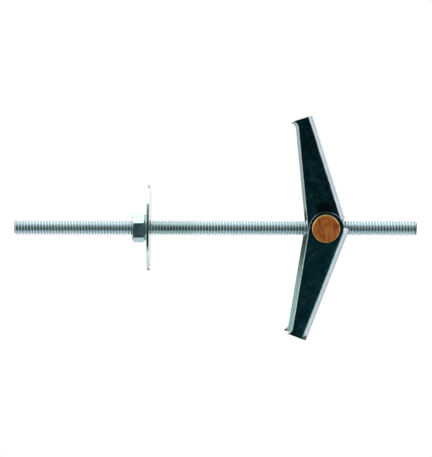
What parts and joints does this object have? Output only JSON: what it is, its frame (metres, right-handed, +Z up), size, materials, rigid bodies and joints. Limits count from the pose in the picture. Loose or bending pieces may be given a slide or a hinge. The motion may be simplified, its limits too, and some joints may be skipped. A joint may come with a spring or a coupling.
{
  "type": "spring toggle wall anchor",
  "caption": "Threaded rod with a nut and wide washer on the room side, and a trunnion with two spring-opened channel wings that bear on the back of a hollow wall.",
  "frame": {"origin": "on the rod's axis, in the plane of the wide washer's wall-side face", "axes": "+X along the rod into the cavity behind the wall, +Z up along the upper wing, +Y across the rod along the trunnion's axis"},
  "size_m": [0.17, 0.036, 0.0944],
  "materials": {
    "zinc_thread": "bright zinc-plated rolled thread",
    "zinc_nut": "bright zinc-plated, forged",
    "zinc_washer": "bright zinc-plated, pressed",
    "trunnion_copper": "copper-coloured barrel with sawn end faces",
    "spring_wire": "plain drawn spring wire",
    "wing_steel": "bright blue-black plated pressed sheet steel"
  },
  "bodies": {
    "rod": {"threaded_rod": "zinc_thread"},
    "washers": {"large_washer": "zinc_washer", "lock_washer": "zinc_washer"},
    "nut": {"hex_nut": "zinc_nut"},
    "head": {"trunnion": "trunnion_copper", "torsion_spring": "spring_wire"},
    "wing_up": {"upper_wing": "wing_steel"},
    "wing_down": {"lower_wing": "wing_steel"}
  },
  "joints": [
    {"name": "washer_slide", "type": "slide", "parent": "rod", "child": "washers", "axis": [1, 0, 0], "range_m": [-0.04445, 0.0127]},
    {"name": "nut_spin", "type": "hinge", "parent": "washers", "child": "nut", "pos_m": [-0.0048, 0, 0], "axis": [1, 0, 0], "range_deg": [-12600, 3600]},
    {"name": "head_travel", "type": "slide", "parent": "rod", "child": "head", "axis": [1, 0, 0], "range_m": [-0.0127, 0.0254]},
    {"name": "upper_wing_fold", "type": "hinge", "parent": "head", "child": "wing_up", "pos_m": [0.0738, 0, 0], "axis": [0, -1, 0], "range_deg": [0, 72.2], "stiffness_Nm_per_rad": 0.05, "springref_deg": -57.3, "deforming": ["torsion_spring"]},
    {"name": "lower_wing_fold", "type": "hinge", "parent": "head", "child": "wing_down", "pos_m": [0.0738, 0, 0], "axis": [0, 1, 0], "range_deg": [0, 68.8], "stiffness_Nm_per_rad": 0.05, "springref_deg": -57.3}
  ],
  "couplings": [
    {"joint": "nut_spin", "follows": "washer_slide", "rad_per_m": 4947.4}
  ]
}
